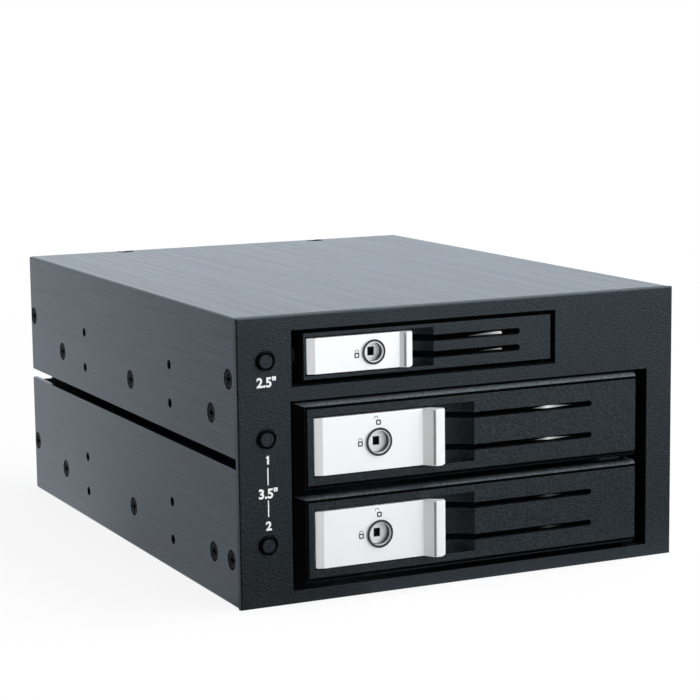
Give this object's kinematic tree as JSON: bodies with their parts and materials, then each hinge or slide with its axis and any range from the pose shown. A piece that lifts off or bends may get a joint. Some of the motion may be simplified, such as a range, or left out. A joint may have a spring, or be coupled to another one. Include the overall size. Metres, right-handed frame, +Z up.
{
  "type": "hard drive cage",
  "caption": "Black metal drive cage for a desktop bay: hinged doors with silver locking levers, finger scoops, vent slots, round push-buttons and a fan at the back.",
  "frame": {"origin": "centre of the underside of the shell", "axes": "+X to the right as seen from the front, +Y from the doors to the back, +Z up"},
  "size_m": [0.146, 0.1994, 0.0844],
  "materials": {
    "shell_aluminium": "brushed, black anodised",
    "bezel_plastic": "fine grain",
    "door_plastic": "fine grain",
    "liner_plastic": "satin",
    "pad_rubber": "matt",
    "light_guide": "smoked clear",
    "lever_metal": "satin silver",
    "lock_chrome": "bright",
    "pin_steel": "plain",
    "button_plastic": "satin",
    "screw_steel": "black oxide",
    "sheet_steel": "zinc plated",
    "guide_plastic": "satin",
    "board_laminate": "solder mask",
    "socket_plastic": "satin",
    "power_plastic": "natural nylon",
    "standoff_brass": "turned",
    "fan_plastic": "satin",
    "guard_steel": "plated wire"
  },
  "bodies": {
    "cage": {"top_cover": "shell_aluminium", "bottom_cover": "shell_aluminium", "front_bezel": "bezel_plastic", "small_hinge_pin": "pin_steel", "large_hinge_pin": "pin_steel", "cover_screws": "screw_steel", "rear_screws": "screw_steel", "lower_tray": "sheet_steel", "mid_shelf": "sheet_steel", "rear_panel": "sheet_steel", "left_drive_guide": "guide_plastic", "right_drive_guide": "guide_plastic", "small_drive_cradle": "guide_plastic", "switch_board": "board_laminate", "main_backplane": "board_laminate", "small_drive_board": "board_laminate", "tact_switches": "socket_plastic", "lower_drive_socket": "socket_plastic", "upper_drive_socket": "socket_plastic", "small_drive_socket": "socket_plastic", "board_link_socket": "socket_plastic", "data_ports": "socket_plastic", "power_ports": "power_plastic", "backplane_standoffs": "standoff_brass", "small_board_standoffs": "standoff_brass", "fan_frame": "fan_plastic", "fan_guard": "guard_steel"},
    "small_door_body": {"small_door": "door_plastic", "small_door_liner": "liner_plastic", "small_door_pads": "pad_rubber", "small_light_guide": "light_guide", "small_lever_pin": "pin_steel"},
    "small_lever_body": {"small_lever": "lever_metal", "small_lock_collar": "lock_chrome"},
    "small_lock_body": {"small_lock_plug": "lock_chrome", "small_lock_cam": "pin_steel"},
    "small_button_body": {"small_button": "button_plastic"},
    "upper_door_body": {"upper_door": "door_plastic", "upper_door_liner": "liner_plastic", "upper_door_pads": "pad_rubber", "upper_light_guide": "light_guide", "upper_lever_pin": "pin_steel"},
    "upper_lever_body": {"upper_lever": "lever_metal", "upper_lock_collar": "lock_chrome"},
    "upper_lock_body": {"upper_lock_plug": "lock_chrome", "upper_lock_cam": "pin_steel"},
    "upper_button_body": {"upper_button": "button_plastic"},
    "lower_door_body": {"lower_door": "door_plastic", "lower_door_liner": "liner_plastic", "lower_door_pads": "pad_rubber", "lower_light_guide": "light_guide", "lower_lever_pin": "pin_steel"},
    "lower_lever_body": {"lower_lever": "lever_metal", "lower_lock_collar": "lock_chrome"},
    "lower_lock_body": {"lower_lock_plug": "lock_chrome", "lower_lock_cam": "pin_steel"},
    "lower_button_body": {"lower_button": "button_plastic"},
    "fan_rotor_body": {"fan_rotor": "fan_plastic"}
  },
  "joints": [
    {"name": "small_door_hinge", "type": "hinge", "parent": "cage", "child": "small_door_body", "pos_m": [0.0272, -0.0933, 0.072], "axis": [0, 0, 1], "range_deg": [0, 90]},
    {"name": "small_lever_pivot", "type": "hinge", "parent": "small_door_body", "child": "small_lever_body", "pos_m": [-0.0482, -0.0931, 0.072], "axis": [0, 0, -1], "range_deg": [0, 40]},
    {"name": "small_lock_turn", "type": "hinge", "parent": "small_lever_body", "child": "small_lock_body", "pos_m": [-0.0304, -0.0955, 0.072], "axis": [0, 1, 0], "range_deg": [0, 90]},
    {"name": "small_button_press", "type": "slide", "parent": "cage", "child": "small_button_body", "axis": [0, 1, 0], "range_m": [0, 0.0006], "stiffness_N_per_m": 400, "springref_m": -0.0004},
    {"name": "upper_door_hinge", "type": "hinge", "parent": "cage", "child": "upper_door_body", "pos_m": [0.05665, -0.0931, 0.04585], "axis": [0, 0, 1], "range_deg": [0, 90]},
    {"name": "upper_lever_pivot", "type": "hinge", "parent": "upper_door_body", "child": "upper_lever_body", "pos_m": [-0.04665, -0.0949, 0.04585], "axis": [0, 0, -1], "range_deg": [0, 40]},
    {"name": "upper_lock_turn", "type": "hinge", "parent": "upper_lever_body", "child": "upper_lock_body", "pos_m": [-0.02995, -0.0975, 0.04585], "axis": [0, 1, 0], "range_deg": [0, 90]},
    {"name": "upper_button_press", "type": "slide", "parent": "cage", "child": "upper_button_body", "axis": [0, 1, 0], "range_m": [0, 0.0006], "stiffness_N_per_m": 400, "springref_m": -0.0004},
    {"name": "lower_door_hinge", "type": "hinge", "parent": "cage", "child": "lower_door_body", "pos_m": [0.05665, -0.0931, 0.0185], "axis": [0, 0, 1], "range_deg": [0, 90]},
    {"name": "lower_lever_pivot", "type": "hinge", "parent": "lower_door_body", "child": "lower_lever_body", "pos_m": [-0.04665, -0.0949, 0.0185], "axis": [0, 0, -1], "range_deg": [0, 40]},
    {"name": "lower_lock_turn", "type": "hinge", "parent": "lower_lever_body", "child": "lower_lock_body", "pos_m": [-0.02995, -0.0975, 0.0185], "axis": [0, 1, 0], "range_deg": [0, 90]},
    {"name": "lower_button_press", "type": "slide", "parent": "cage", "child": "lower_button_body", "axis": [0, 1, 0], "range_m": [0, 0.0006], "stiffness_N_per_m": 400, "springref_m": -0.0004},
    {"name": "fan_spin", "type": "hinge", "parent": "cage", "child": "fan_rotor_body", "pos_m": [0.046, 0.0895, 0.04], "axis": [0, 1, 0], "continuous": true}
  ]
}
